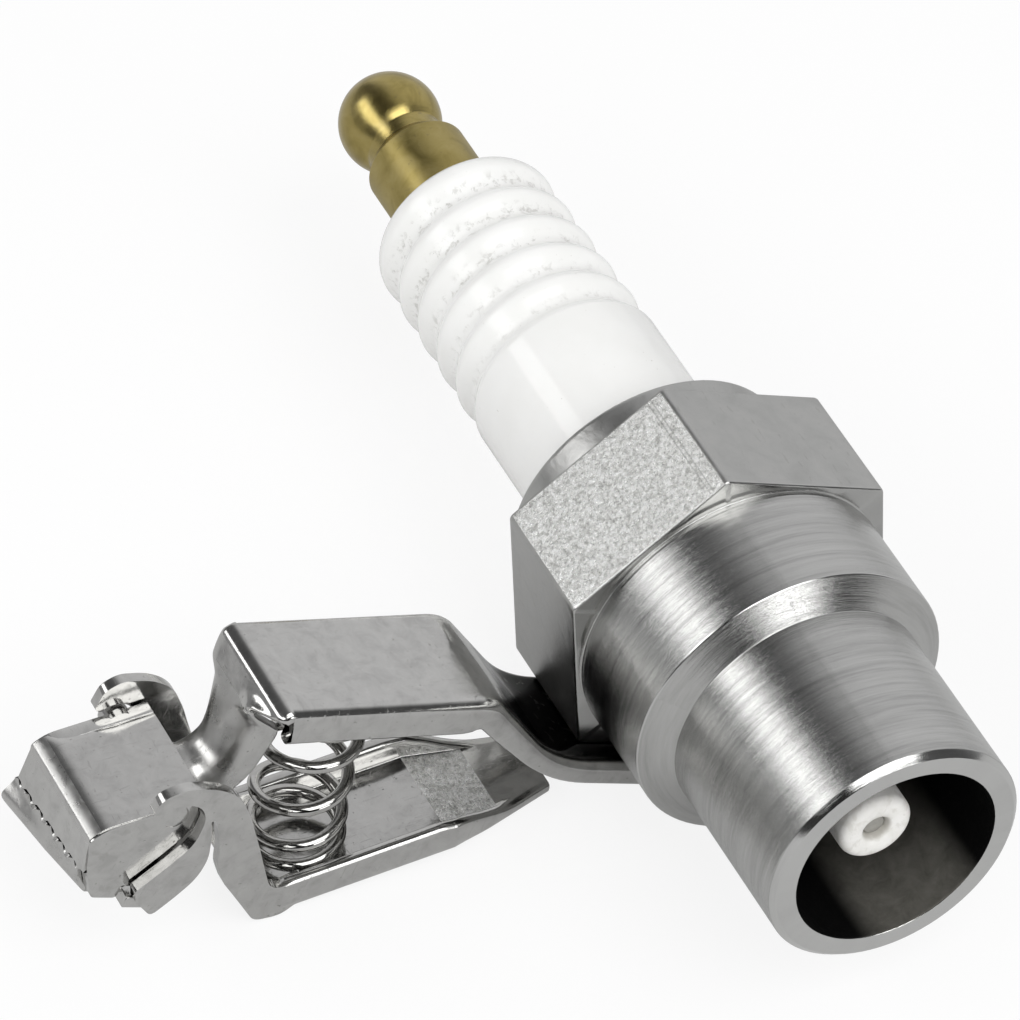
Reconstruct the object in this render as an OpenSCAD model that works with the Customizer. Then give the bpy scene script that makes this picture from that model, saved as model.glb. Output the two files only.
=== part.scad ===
// Spark plug tester: a plug shell without a side electrode, and a spring clip welded under its hexagon

/* [Shell] */
// Width of the hexagon across its flats
hex_af = 20.6; // [19.5:0.1:24]
// Length of the hexagon along the plug
hex_len = 10; // [8.5:0.5:14]
// Height over which the rear corners of the hexagon are turned away
hex_trim = 1.9; // [1:0.1:2.4]
// Step from the hexagon's flats down to the turned collar ahead of it
collar_inset = 0.25; // [0.1:0.05:1.1]
// Length of the collar
collar_len = 7.5; // [5:0.5:9]
// Length of the polished cone between the collar and the barrel
cone_len = 1.15; // [0.6:0.05:2]
// Radius of the barrel
barrel_r = 8.15; // [7.8:0.05:8.8]
// Length of the barrel up to its open end
barrel_len = 12.3; // [9:0.1:16]
// Radius of the bore at the open end
nose_bore_r = 6.48; // [6:0.02:6.7]
// Thickness of the crimped lip that holds the insulator in
crimp_lip = 0.8; // [0.5:0.1:1.2]
// Bevel on the outer edge of the open end
rim_bevel = 0.42; // [0.2:0.02:0.6]

/* [Insulator] */
// Radius of the white insulator behind the shell
insulator_r = 6.31; // [5.8:0.01:6.5]
// Length of the insulator behind the hexagon
insulator_len = 27.1; // [24:0.1:34]
// Number of grooves around the insulator
groove_count = 5; // [3:1:6]
// Distance from one groove to the next
groove_pitch = 2.79; // [2:0.01:3.2]
// Depth of a groove
groove_depth = 0.6; // [0.3:0.02:1]
// Loss of radius from the first rib to the last
rib_taper = 0.3; // [0:0.05:0.6]
// Height and radius of the rounded top above the grooves
top_bead = 1.5; // [1:0.1:2.5]
// Radius of the tip inside the open end
tip_r = 2.35; // [2:0.05:3]
// Distance of the tip behind the open end
tip_recess = 2.3; // [1:0.05:3]
// Length of the thick shoulder held in the shell
shoulder_len = 8; // [6:0.5:9]

/* [Terminal and electrode] */
// Radius of the stud in the insulator
stud_r = 1.9; // [1.5:0.05:2]
// Radius of the terminal's ball
ball_r = 3.3; // [3:0.05:3.3]
// Height of the terminal above the insulator
terminal_h = 12.7; // [11:0.1:14]
// Radius of the terminal's base
base_r = 3.35; // [3.3:0.05:3.6]
// Height of the terminal's base
base_h = 5.9; // [4:0.1:6.4]
// Radius of the terminal's waist
waist_r = 2.55; // [2.5:0.05:2.8]
// Radius of the electrode wire
electrode_r = 0.65; // [0.5:0.05:0.9]
// Distance of the electrode's end behind the end of the tip
electrode_recess = 0.5; // [0.5:0.1:4]
// Length of the conductive glass plug in the insulator
seal_len = 3.6; // [2:0.2:6]

/* [Packing] */
// Space for the packing between the insulator and the shell's bore
packing_space = 1.09; // [0.9:0.01:1.3]
// Thickness of the seat washer
washer_t = 0.5; // [0.3:0.1:0.8]

/* [Clip] */
// Thickness of the clip's sheet
sheet = 1; // [0.8:0.05:1.2]
// Width of the clip
clip_w = 8.4; // [8.2:0.1:9.6]
// Distance of the clip's middle behind the front of the hexagon
clip_setback = 2.2; // [2:0.1:5]
// Length of the strap past the middle of the hexagon's flat
strap_past = 1.5; // [0:0.5:2.5]
// Distance from the plug's axis to the strap's bend
strap_reach = 8.6; // [8:0.1:10]
// Distance from the plug's axis to the rear of the upper handle
handle_rear = 14.4; // [13.5:0.1:16]
// Rise of the upper handle's rear above the strap
handle_rise = 4.1; // [3.5:0.1:5]
// Length of the upper handle
upper_len = 15.4; // [14.5:0.1:18]
// Tilt of the upper handle against the strap
upper_tilt = 5.6; // [3:0.2:8]
// Depth of the upper handle's side flanges
upper_flange = 2; // [1.4:0.1:2.6]
// Distance of the pivot in front of the upper handle
pivot_back = 4.3; // [3.9:0.1:4.8]
// Drop of the pivot below the front of the upper handle
pivot_drop = 6.7; // [6.3:0.1:7.4]
// Radius of the pivot lugs
lug_r = 1.2; // [0.9:0.05:1.3]
// Width of the hooks over the lugs
hook_band = 1.1; // [0.8:0.05:1.3]
// Thickness of the ears that carry the hooks
ear_t = 0.7; // [0.6:0.05:0.9]
// Width of the neck at its foot
neck_w = 3.6; // [3:0.1:4.2]
// Length of the upper jaw
jaw_len = 6.8; // [6.4:0.1:7.6]
// Slope of the upper jaw
jaw_tilt = 30; // [27:1:33]
// Length of the upper jaw's toothed lip
lip_len = 2.5; // [2:0.1:2.8]
// Height of the lower jaw's toothed lip
lower_lip_len = 1.5; // [1.3:0.1:1.8]
// Number of teeth on a lip
tooth_count = 6; // [4:1:8]
// Depth of a tooth
tooth_depth = 0.5; // [0.3:0.05:0.6]
// Distance of the lower handle's front corner behind the pivot
lower_out = 10.1; // [9.6:0.1:10.6]
// Drop of the lower handle's front corner below the pivot
lower_drop = 7.7; // [7.2:0.1:8.2]
// Width of the legs between the ears and the lower handle
leg_w = 2.3; // [1.8:0.1:2.6]
// Length of the lower handle up to its tail
lower_len = 12.6; // [11.5:0.1:13.5]
// Slope of the lower handle
lower_tilt = 26.7; // [24:0.1:30]
// Height of the lower handle's side flanges
lower_flange = 2; // [1.6:0.1:2.4]
// Length of the lower handle's tail
tail_len = 6; // [4:0.1:7]
// Slope of the tail
tail_tilt = 19; // [18:1:22]
// Width of the tail at its end
tail_w = 3; // [2:0.1:5]

/* [Spring] */
// Outer radius of the spring
spring_r = 3.1; // [2.6:0.05:3.2]
// Radius of the spring wire
wire_r = 0.4; // [0.3:0.02:0.5]
// Number of turns
spring_turns = 5; // [4:0.5:7]
// Distance of the spring behind the front corner of the lower handle
spring_set = 4.6; // [4:0.1:6]

/* [Hidden] */
$fn = 64;

// Clearance between fixed pieces, and running clearance between the two halves of the clip
fit = 0.05;
run = 0.3;
// How far a cut reaches past the surface that it opens
past = 1;

// Distance of the insulator's seat behind the collar's front, and of its bore's step behind its shoulder
seat_setback = 4;
step_setback = 2;
// Solid end of the terminal, and length and head of the electrode in the insulator
terminal_cap = 3;
electrode_head_h = 1;
nose_taper_len = 8;

// Radius of the bore that takes the insulator, and of the wire of the two packing rings
body_bore_r = insulator_r + packing_space;
ring_wire_r = packing_space / 2 - 2 * fit;

// Stations along the plug, measured from the front of the hexagon towards the open end
hex_corner_r = hex_af / sqrt(3);
hex_rear = -hex_len;
collar_r = hex_af / 2 - collar_inset;
hex_face_r = hex_corner_r - hex_trim * sqrt(3);
// Center and radius of the round that turns the rear corners away, through the rear face's edge
dome_center = (pow(hex_corner_r, 2) - pow(hex_face_r, 2) + pow(hex_rear + hex_trim, 2) - pow(hex_rear, 2))
    / (2 * hex_trim);
dome_r = norm([hex_face_r, hex_rear - dome_center]);
cone_start = collar_len;
barrel_start = collar_len + cone_len;
nose_end = barrel_start + barrel_len;
crimp_front = hex_rear + crimp_lip;
seat_front = collar_len - seat_setback;
seat_len = body_bore_r - nose_bore_r;
shoulder_front = seat_front - seat_len - washer_t;
shoulder_rear = shoulder_front - shoulder_len;
tip_end = nose_end - tip_recess;
insulator_top = hex_rear - insulator_len;
bore_step = shoulder_front - step_setback;
terminal_top = insulator_top - terminal_h;
terminal_bore_depth = terminal_h - terminal_cap;
groove_zone_end = insulator_top + top_bead;
groove_zone_start = groove_zone_end + groove_count * groove_pitch;

// Corners of the clip's sheet, on its middle surface, in the plane across the plug
strap_y = -hex_af / 2 - sheet / 2;

// Corners of the clip's sheet and of its ears as offsets from the pivot, along the clip and up
neck_foot_at = [2.8, -0.5];
plate_rear_at = [1.2, 1.05];
flange_back_at = [1.7, -1.2];
leg_top_at = [2.7, 0.1];
shoulder_at = [3.8, 1.4];
fork_at = [3.1, -3];
knee_at = [1.2, -1.6];
heel_back_at = [2.7, -5.5];
// Distances along the clip from the pivot to the ends of both jaws' floors and flanges
jaw_rear_out = 1;
flange_heel_out = 0.5;
heel_out = 1.3;
// Size of the foot of each ear's limb, and of the corner cut off the upper jaw's flanges, which lets the
// lower jaw's lip swing back
limb_foot = [2.1, 2.3];
flange_cut = [1.3, 1.4];
// Lean of the two lips and length of the neck's foot in the jaw
lip_lean = 0.1;
lower_lip_lean = 0.85;
layer_len = 5;
strap_end = [strap_past, strap_y];
strap_bend = [-strap_reach, strap_y];
upper_rear = [-handle_rear, strap_y + handle_rise];
upper_front = upper_rear - upper_len * heading(upper_tilt);
pivot = upper_front - [pivot_back, pivot_drop];
neck_foot = pivot + neck_foot_at;
layer_end = neck_foot - layer_len * heading(jaw_tilt);
plate_rear = pivot + plate_rear_at;
jaw_front = plate_rear - jaw_len * heading(jaw_tilt);
lip_end = jaw_front - [lip_lean, lip_len];
lower_front = pivot + [lower_out, -lower_drop];
lower_rear = lower_front + lower_len * heading(lower_tilt);
tail_end = lower_rear + tail_len * heading(tail_tilt);
lower_jaw_front = lip_end + [lower_lip_lean, -lower_lip_len];
lower_jaw_rear = [pivot[0] + jaw_rear_out, lower_jaw_front[1]];
bend_r = 1.2;
foot_r = bend_r + sheet / 2;
half_w = clip_w / 2;
flange_in = half_w - sheet;
ear_in = half_w + run / 2;
ear_out = ear_in + ear_t;
hook_in_r = lug_r + fit;
hook_out_r = hook_in_r + hook_band;

// The leg of each ear runs to the front corner of the lower handle and leans in to meet its flanges
leg_top = pivot + leg_top_at;
leg_len = norm(lower_front - leg_top);
leg_angle = atan2(lower_front[1] - leg_top[1], lower_front[0] - leg_top[0]);
leg_mid = (ear_in + ear_out) / 2;
leg_flare = asin((half_w - sheet / 2 - leg_mid) / leg_len);
turned_edge = lower_front - leg_w * heading(leg_angle);

// Outline of the limb of each ear, from its hook down to the lower jaw
shoulder = pivot + shoulder_at;
fork = pivot + fork_at;
knee = pivot + knee_at;
heel_back = pivot + heel_back_at;
heel = [pivot[0] + heel_out, lower_jaw_rear[1] - sheet / 2];
limb_end = heel + [-limb_foot[0], limb_foot[1]];

// Outline of the upper jaw's side flanges
flange_foot = lower_jaw_front[1] + sheet / 2 + run;
flange_front = [lip_end[0] + sheet, flange_foot + flange_cut[1]];
flange_corner = flange_front + [flange_cut[0], -flange_cut[1]];
flange_heel = [pivot[0] + flange_heel_out, flange_foot];
flange_back = pivot + flange_back_at;

// The bowed axis of the spring: an arc about the line where both handle plates would meet
handles_meet = meet(upper_front, upper_tilt, lower_front, lower_tilt);
spring_arc_r = norm(lower_front + spring_set * heading(lower_tilt) - handles_meet);
coil_r = spring_r - wire_r;
spring_gap = asin((sheet / 2 + wire_r + fit) / (spring_arc_r - coil_r));
seat_r = coil_r - wire_r - run;
seat_h = 0.8;

// How far the part rolls about the plug's axis until the hexagon and the lower handle touch the floor
rest_corner = [hex_corner_r / 2, -hex_af / 2];
foot_center = bend_center(turned_edge, lower_front, lower_rear, bend_r);
lip_corner = lip_end - sheet / 2 * left_of(unit(lip_end - jaw_front));
rest_span = rest_corner - foot_center;
roll = atan2(rest_span[1], rest_span[0]) + asin(foot_r / norm(rest_span));
rest_left = across(lip_corner);
rest_right = hex_corner_r * cos(roll);
rest_shift = [-(rest_left + rest_right) / 2, (nose_end + terminal_top) / 2, -above(rest_corner)];

function heading(angle) = [cos(angle), sin(angle)];
function across(p) = p[0] * cos(roll) + p[1] * sin(roll);
function above(p) = p[1] * cos(roll) - p[0] * sin(roll);
function unit(v) = v / norm(v);
function left_of(v) = [-v[1], v[0]];
function cross2(u, v) = u[0] * v[1] - u[1] * v[0];
function arc(center, r, from, to, steps) =
    [for (i = [0 : steps]) center + r * heading(from + (to - from) * i / steps)];

// Point where two lines meet, each given by a point and a slope
function meet(p, p_angle, q, q_angle) =
    p + heading(p_angle) * cross2(q - p, heading(q_angle)) / cross2(heading(p_angle), heading(q_angle));

// Turn at corner b of the path a, b, c, positive to the left
function turn(a, b, c) = atan2(cross2(b - a, c - b), (b - a) * (c - b));
// Center of the bend of radius r at corner b
function bend_center(a, b, c, r) =
    b - unit(b - a) * r * tan(abs(turn(a, b, c)) / 2) + left_of(unit(b - a)) * r * sign(turn(a, b, c));
// One side of a bent sheet, at distance d to the left of its middle surface
function bend_side(a, b, c, r, d) =
    let (angle = turn(a, b, c), side = sign(angle), start = left_of(unit(b - a)))
    arc(bend_center(a, b, c, r), r - side * d, atan2(-side * start[1], -side * start[0]),
        atan2(-side * start[1], -side * start[0]) + angle, 6);
function sheet_side(path, r, d) = let (n = len(path)) concat(
    [path[0] + d * left_of(unit(path[1] - path[0]))],
    [for (i = [1 : n - 2]) each bend_side(path[i - 1], path[i], path[i + 1], r, d)],
    [path[n - 1] + d * left_of(unit(path[n - 1] - path[n - 2]))]);
function reversed(list) = [for (i = [len(list) - 1 : -1 : 0]) list[i]];

// Side view of a sheet bent along a path
module bent_sheet(path, r) {
    polygon(concat(sheet_side(path, r, sheet / 2), reversed(sheet_side(path, r, -sheet / 2))));
}

// Moves a piece from the plug's own frame to where the part lies on the floor
module lay() {
    translate(rest_shift) rotate([0, roll, 0]) rotate([90, 0, 0]) children();
}

// Extrudes a side view of the clip over a width, about the clip's middle plane
module clip_extrude(width) {
    translate([0, 0, -clip_setback - width / 2]) linear_extrude(width) children();
}

// Extrudes a side view into two plates, one on each side of the clip
module clip_sides(inner, thickness) {
    for (start = [inner, -inner - thickness])
        translate([0, 0, start - clip_setback]) linear_extrude(thickness) children();
}

module shell() {
    color([0.66, 0.66, 0.65]) lay() difference() {
        union() {
            intersection() {
                translate([0, 0, hex_rear]) cylinder(r = hex_corner_r, h = hex_len, $fn = 6);
                translate([0, 0, dome_center]) sphere(dome_r);
            }
            rotate_extrude() polygon([[0, -past], [collar_r, -past], [collar_r, cone_start],
                [barrel_r, barrel_start], [barrel_r, nose_end - rim_bevel],
                [barrel_r - rim_bevel, nose_end], [0, nose_end]]);
        }
        rotate_extrude() polygon([[0, hex_rear - past], [insulator_r + fit, hex_rear - past],
            [insulator_r + fit, crimp_front], [body_bore_r, crimp_front],
            [body_bore_r, seat_front - seat_len], [nose_bore_r, seat_front],
            [nose_bore_r, nose_end + past], [0, nose_end + past]]);
    }
}

// Radius of the ribbed part of the insulator, counted in grooves from the first
function groove_r_at(count) =
    insulator_r - rib_taper * count / groove_count - groove_depth * (1 - cos(360 * count)) / 2;

module insulator() {
    body_r = body_bore_r - fit;
    nose_root_r = nose_bore_r - seat_len;
    nose_start = seat_front;
    tip_start = nose_start + nose_taper_len;
    top_r = insulator_r - rib_taper;
    groove_steps = 10;
    color([0.95, 0.95, 0.93]) lay() rotate_extrude() difference() {
        polygon(concat(
            [[0, tip_end], [tip_r, tip_end], [tip_r, tip_start], [nose_root_r, nose_start],
                [nose_root_r, shoulder_front + seat_len], [body_r, shoulder_front],
                [body_r, shoulder_rear], [insulator_r, shoulder_rear]],
            [for (i = [0 : groove_count * groove_steps])
                [groove_r_at(i / groove_steps), groove_zone_start - groove_pitch * i / groove_steps]],
            arc([top_r - top_bead, insulator_top + top_bead], top_bead, 0, -90, 6),
            [[0, insulator_top]]));
        translate([0, insulator_top - past]) square([stud_r + fit, bore_step - insulator_top + past]);
        translate([0, bore_step - past]) square([electrode_r + fit, tip_end - bore_step + 2 * past]);
    }
}

module terminal_nut() {
    neck_h = 0.9;
    flat_r = 1.6;
    ball_center = terminal_top + sqrt(pow(ball_r, 2) - pow(flat_r, 2));
    base_top = insulator_top - base_h;
    color([0.72, 0.58, 0.3]) lay() rotate_extrude() difference() {
        polygon(concat(
            [[0, insulator_top], [base_r, insulator_top], [base_r, base_top], [waist_r, base_top - neck_h]],
            arc([0, ball_center], ball_r, acos(waist_r / ball_r), -acos(flat_r / ball_r), 16),
            [[0, terminal_top]]));
        translate([0, insulator_top - terminal_bore_depth])
            square([stud_r + fit, terminal_bore_depth + past]);
    }
}

module terminal_stud() {
    foot = bore_step - seal_len;
    top = insulator_top - terminal_bore_depth + fit;
    color([0.55, 0.55, 0.55]) lay() translate([0, 0, top]) cylinder(r = stud_r, h = foot - top);
}

module glass_seal() {
    color([0.2, 0.2, 0.22]) lay() translate([0, 0, bore_step - seal_len])
        cylinder(r = stud_r, h = seal_len - electrode_head_h);
}

module center_electrode() {
    color([0.5, 0.49, 0.47]) lay() {
        translate([0, 0, bore_step - electrode_head_h])
            cylinder(r = stud_r - 2 * fit, h = electrode_head_h);
        translate([0, 0, bore_step]) cylinder(r = electrode_r, h = tip_end - electrode_recess - bore_step);
    }
}

// A soft washer that seals the insulator's shoulder on the shell's seat
module seat_washer() {
    rear = seat_front - seat_len;
    color([0.72, 0.45, 0.3]) lay() rotate_extrude() polygon([[body_bore_r - fit, rear - washer_t],
        [body_bore_r - fit, rear], [nose_bore_r, seat_front - fit],
        [nose_bore_r - fit, seat_front - washer_t]]);
}

// A wire ring in the space between the insulator and the shell, centered at a station along the plug
module packing_ring(station) {
    color([0.5, 0.5, 0.5]) lay() rotate_extrude() translate([(insulator_r + body_bore_r) / 2, station])
        circle(ring_wire_r);
}

module lower_packing_ring() {
    packing_ring(shoulder_rear - ring_wire_r - fit);
}

module upper_packing_ring() {
    packing_ring(crimp_front + ring_wire_r + fit);
}

module talc_packing() {
    front = shoulder_rear - 2 * (ring_wire_r + fit);
    rear = crimp_front + 2 * (ring_wire_r + fit);
    color([0.85, 0.83, 0.78]) lay() rotate_extrude() translate([insulator_r + fit, rear])
        square([body_bore_r - insulator_r - 2 * fit, front - rear]);
}

// Cuts through the clip along its length, from a view of its width and height
module clip_cut(from, to) {
    translate([from, 0, -clip_setback]) rotate([0, 90, 0]) linear_extrude(to - from) children();
}

// A row of notches across a lip with their mouths at a height, cut up or down from there
module notches(mouth, depth, shift) {
    pitch = clip_w / tooth_count;
    for (i = [0 : tooth_count])
        translate([pitch * (i + shift) - half_w, mouth])
            polygon([[-pitch / 2, 0], [-pitch / 2, -sign(depth) * past], [pitch / 2, -sign(depth) * past],
                [pitch / 2, 0], [0, depth]]);
}

// A round dimple that locates the spring, standing on a handle plate at a point and slope
module spring_seat(p, slope, side) {
    translate([p[0], p[1], -clip_setback]) rotate([side * 90, 0, 0] + [0, 0, slope])
        cylinder(r = seat_r, h = sheet / 2 + seat_h);
}

// Side view of the flanges along the upper handle
module upper_handle_flange() {
    along = heading(upper_tilt);
    down = -upper_flange * left_of(along);
    front = upper_front + sheet * along;
    polygon([front, upper_rear, upper_rear + down, front + down]);
}

// Side view of the flanges along the upper jaw, which carry the pivot lugs
module upper_jaw_flange() {
    polygon([plate_rear, jaw_front + sheet * heading(jaw_tilt), flange_front, flange_corner,
        flange_heel, flange_back]);
}

// View along the clip of what is cut away beside the tapering neck
module neck_sides() {
    waist_rise = 2.2;
    low = neck_foot[1] - sheet - past;
    for (side = [-1, 1])
        polygon([[side * neck_w / 2, low], [side * neck_w / 2, neck_foot[1] + waist_rise],
            [side * (half_w + past), upper_front[1] - bend_r], [side * (half_w + past), low]]);
}

module clip_upper() {
    handle_strip = [strap_end, strap_bend, upper_rear, upper_front, neck_foot, layer_end];
    color([0.7, 0.69, 0.67]) lay() {
        difference() {
            clip_extrude(clip_w) bent_sheet(handle_strip, bend_r);
            clip_cut(flange_back[0], upper_front[0] + past) neck_sides();
        }
        difference() {
            clip_extrude(clip_w) bent_sheet([plate_rear, jaw_front, lip_end], bend_r);
            clip_cut(lip_end[0] - past, lip_end[0] + past) notches(lip_end[1], tooth_depth, 0);
        }
        clip_sides(flange_in, sheet) upper_handle_flange();
        clip_sides(flange_in, sheet) upper_jaw_flange();
        clip_sides(flange_in, sheet + run / 2 + ear_t) translate(pivot) circle(lug_r);
        spring_seat(handles_meet - spring_arc_r * heading(upper_tilt), upper_tilt, 1);
    }
}

// Side view of an ear: a hook over a pivot lug, and a limb down to the lower jaw
module ear() {
    difference() {
        union() {
            translate(pivot) circle(hook_out_r);
            polygon([pivot + [0, hook_out_r], shoulder, fork, heel_back, heel, limb_end, knee, pivot]);
        }
        translate(pivot) circle(hook_in_r);
        polygon([pivot, pivot - hook_out_r * [2, -1], limb_end - [hook_out_r, 0], limb_end, knee]);
    }
}

// The legs from the ears to the lower handle, which lean in on both sides
module legs() {
    for (side = [-1, 1])
        translate([leg_top[0], leg_top[1], side * leg_mid - clip_setback])
            rotate([0, 0, leg_angle]) rotate([0, -side * leg_flare, 0])
                translate([0, -leg_w / 2, -ear_t / 2]) cube([leg_len - sheet, leg_w, ear_t]);
}

// Side view of the flanges along the lower handle, which slope down at the tail
module lower_handle_flange() {
    along = heading(lower_tilt);
    up = left_of(along);
    polygon([lower_front, lower_rear, lower_rear + sheet * up, lower_rear + lower_flange * (up - along),
        lower_front + lower_flange * up]);
}

// View from above of what is cut away beside the tapering tail
module tail_sides() {
    for (side = [-1, 1])
        polygon([[lower_rear[0], side * half_w], [tail_end[0] + past, side * tail_w / 2],
            [tail_end[0] + past, side * (half_w + past)], [lower_rear[0], side * (half_w + past)]]);
}

module clip_lower() {
    lip_top = lip_end + [0, tooth_depth - run / 2];
    color([0.68, 0.67, 0.65]) lay() {
        difference() {
            clip_extrude(clip_w) bent_sheet([lip_top, lower_jaw_front, lower_jaw_rear], bend_r);
            clip_cut(lip_top[0] - past, lip_top[0] + past) notches(lip_top[1], -tooth_depth, 0.5);
        }
        clip_extrude(2 * ear_out) translate([limb_end[0], heel[1]]) square([limb_foot[0], sheet]);
        clip_sides(ear_in, ear_t) ear();
        difference() {
            legs();
            clip_extrude(2 * (ear_out + past)) translate(pivot) circle(hook_in_r);
        }
        difference() {
            clip_extrude(clip_w) bent_sheet([turned_edge, lower_front, lower_rear, tail_end], bend_r);
            translate([0, tail_end[1] + past, -clip_setback]) rotate([90, 0, 0])
                linear_extrude(tail_end[1] + past - lower_front[1]) tail_sides();
        }
        clip_sides(flange_in, sheet) lower_handle_flange();
        spring_seat(handles_meet - spring_arc_r * heading(lower_tilt), lower_tilt, -1);
    }
}

// Share of the spring's length reached at a share of its turns: the end turns lie closer by a share
end_closing = 0.5;
function spring_rise(share) = share - end_closing * sin(360 * share) / (2 * PI);
// Slope, about the line where the handles meet, of the coil at a share of its turns
function spring_slope(share) = lower_tilt - spring_gap
    - (lower_tilt - upper_tilt - 2 * spring_gap) * spring_rise(share);
// One ring of points around the wire at a share of the spring's turns
function wire_ring(share, sides) =
    let (out = -heading(spring_slope(share)), along = left_of(out), angle = 360 * spring_turns * share)
    [for (k = [0 : sides - 1]) let (
        reach = coil_r + wire_r * cos(360 * k / sides),
        lift = wire_r * sin(360 * k / sides),
        flat = handles_meet + out * (spring_arc_r + reach * cos(angle)) + along * lift)
        [flat[0], flat[1], reach * sin(angle) - clip_setback]];

module clip_spring() {
    sides = 8;
    rings = 20 * spring_turns;
    points = [for (i = [0 : rings]) each wire_ring(i / rings, sides)];
    skin = [for (i = [0 : rings - 1]) for (k = [0 : sides - 1])
        let (a = i * sides + k, b = i * sides + (k + 1) % sides)
        each [[a, b + sides, b], [a, a + sides, b + sides]]];
    ends = [[for (k = [0 : sides - 1]) k], [for (k = [sides - 1 : -1 : 0]) rings * sides + k]];
    color([0.6, 0.6, 0.6]) lay() polyhedron(points, concat(skin, ends));
}

shell();
insulator();
terminal_nut();
terminal_stud();
glass_seal();
center_electrode();
seat_washer();
lower_packing_ring();
talc_packing();
upper_packing_ring();
clip_upper();
clip_lower();
clip_spring();
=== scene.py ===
import math

import bpy
import bmesh
from mathutils import Matrix, Vector

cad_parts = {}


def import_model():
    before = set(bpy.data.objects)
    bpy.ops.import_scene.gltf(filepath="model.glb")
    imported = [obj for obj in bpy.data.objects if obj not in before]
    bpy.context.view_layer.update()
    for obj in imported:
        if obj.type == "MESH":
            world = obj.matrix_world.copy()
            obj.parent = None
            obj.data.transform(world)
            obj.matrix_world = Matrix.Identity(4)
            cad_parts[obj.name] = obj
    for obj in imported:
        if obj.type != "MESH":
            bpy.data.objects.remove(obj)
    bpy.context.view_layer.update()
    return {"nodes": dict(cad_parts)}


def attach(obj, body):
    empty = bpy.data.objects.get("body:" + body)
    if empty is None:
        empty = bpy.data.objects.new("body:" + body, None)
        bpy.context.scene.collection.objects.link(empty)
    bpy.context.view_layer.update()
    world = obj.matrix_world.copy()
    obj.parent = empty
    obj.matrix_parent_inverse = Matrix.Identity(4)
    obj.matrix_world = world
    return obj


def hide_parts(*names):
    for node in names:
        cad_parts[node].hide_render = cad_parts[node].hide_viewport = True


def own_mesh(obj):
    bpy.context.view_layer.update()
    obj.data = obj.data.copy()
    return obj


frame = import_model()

MM = 0.001

# The plug's own frame: s and t across the plug, a along it towards the open end, all in millimetres
ROLL = math.radians(23.1771)
SHIFT = (16.4874, -14.425, 11.8092)
# Distance of the clip's middle plane behind the hexagon's front
CLIP_SETBACK = 2.2


def world(s, t, a):
    """World point in metres of a point in the plug's frame."""
    x = s * math.cos(ROLL) + t * math.sin(ROLL) + SHIFT[0]
    z = t * math.cos(ROLL) - s * math.sin(ROLL) + SHIFT[2]
    return Vector((x, SHIFT[1] - a, z)) * MM


def turned_point(r, turn, a):
    """World point at a radius and an angle about the plug's axis."""
    return world(r * math.cos(turn), r * math.sin(turn), a)


def clip_point(p, w):
    """World point of a side-view point of the clip at distance w from the clip's middle plane."""
    return world(p[0], p[1], w - CLIP_SETBACK)


def polar(turn):
    return Vector((math.cos(turn), math.sin(turn)))


def heading(degrees):
    return polar(math.radians(degrees))


def left_of(v):
    return Vector((-v[1], v[0]))


def lerp(a, b, share):
    return a + (b - a) * share


def smooth(share):
    share = min(1.0, max(0.0, share))
    return share * share * (3 - 2 * share)


# Materials

def wire(tree, source, target):
    tree.links.new(source, target)


def put(tree, socket, value):
    """Links a socket to another node's output, or sets it to a constant."""
    if isinstance(value, bpy.types.NodeSocket):
        wire(tree, value, socket)
    else:
        socket.default_value = value


def math_node(tree, operation, a, b=0.0):
    made = tree.nodes.new("ShaderNodeMath")
    made.operation = operation
    put(tree, made.inputs[0], a)
    put(tree, made.inputs[1], b)
    return made.outputs[0]


def level_node(tree, value, low, high, out_low, out_high):
    made = tree.nodes.new("ShaderNodeMapRange")
    made.interpolation_type = "SMOOTHSTEP"
    wire(tree, value, made.inputs["Value"])
    made.inputs["From Min"].default_value = low
    made.inputs["From Max"].default_value = high
    made.inputs["To Min"].default_value = out_low
    made.inputs["To Max"].default_value = out_high
    return made.outputs["Result"]


def ramp_node(tree, value, stops):
    made = tree.nodes.new("ShaderNodeValToRGB")
    wire(tree, value, made.inputs["Fac"])
    elements = made.color_ramp.elements
    while len(elements) < len(stops):
        elements.new(0.5)
    for element, (place, color) in zip(elements, stops):
        element.position = place
        element.color = (*color, 1)
    return made.outputs["Color"]


def mix_shaders(tree, share, first, second, output_kind):
    mix = tree.nodes.new("ShaderNodeMixShader")
    for source, socket in zip((share, first.outputs[0], second.outputs[0]), mix.inputs):
        wire(tree, source, socket)
    wire(tree, mix.outputs[0], tree.nodes.new(output_kind).inputs[0])


def scaled(color, factor):
    return tuple(min(1.0, c * factor) for c in color)


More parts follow.
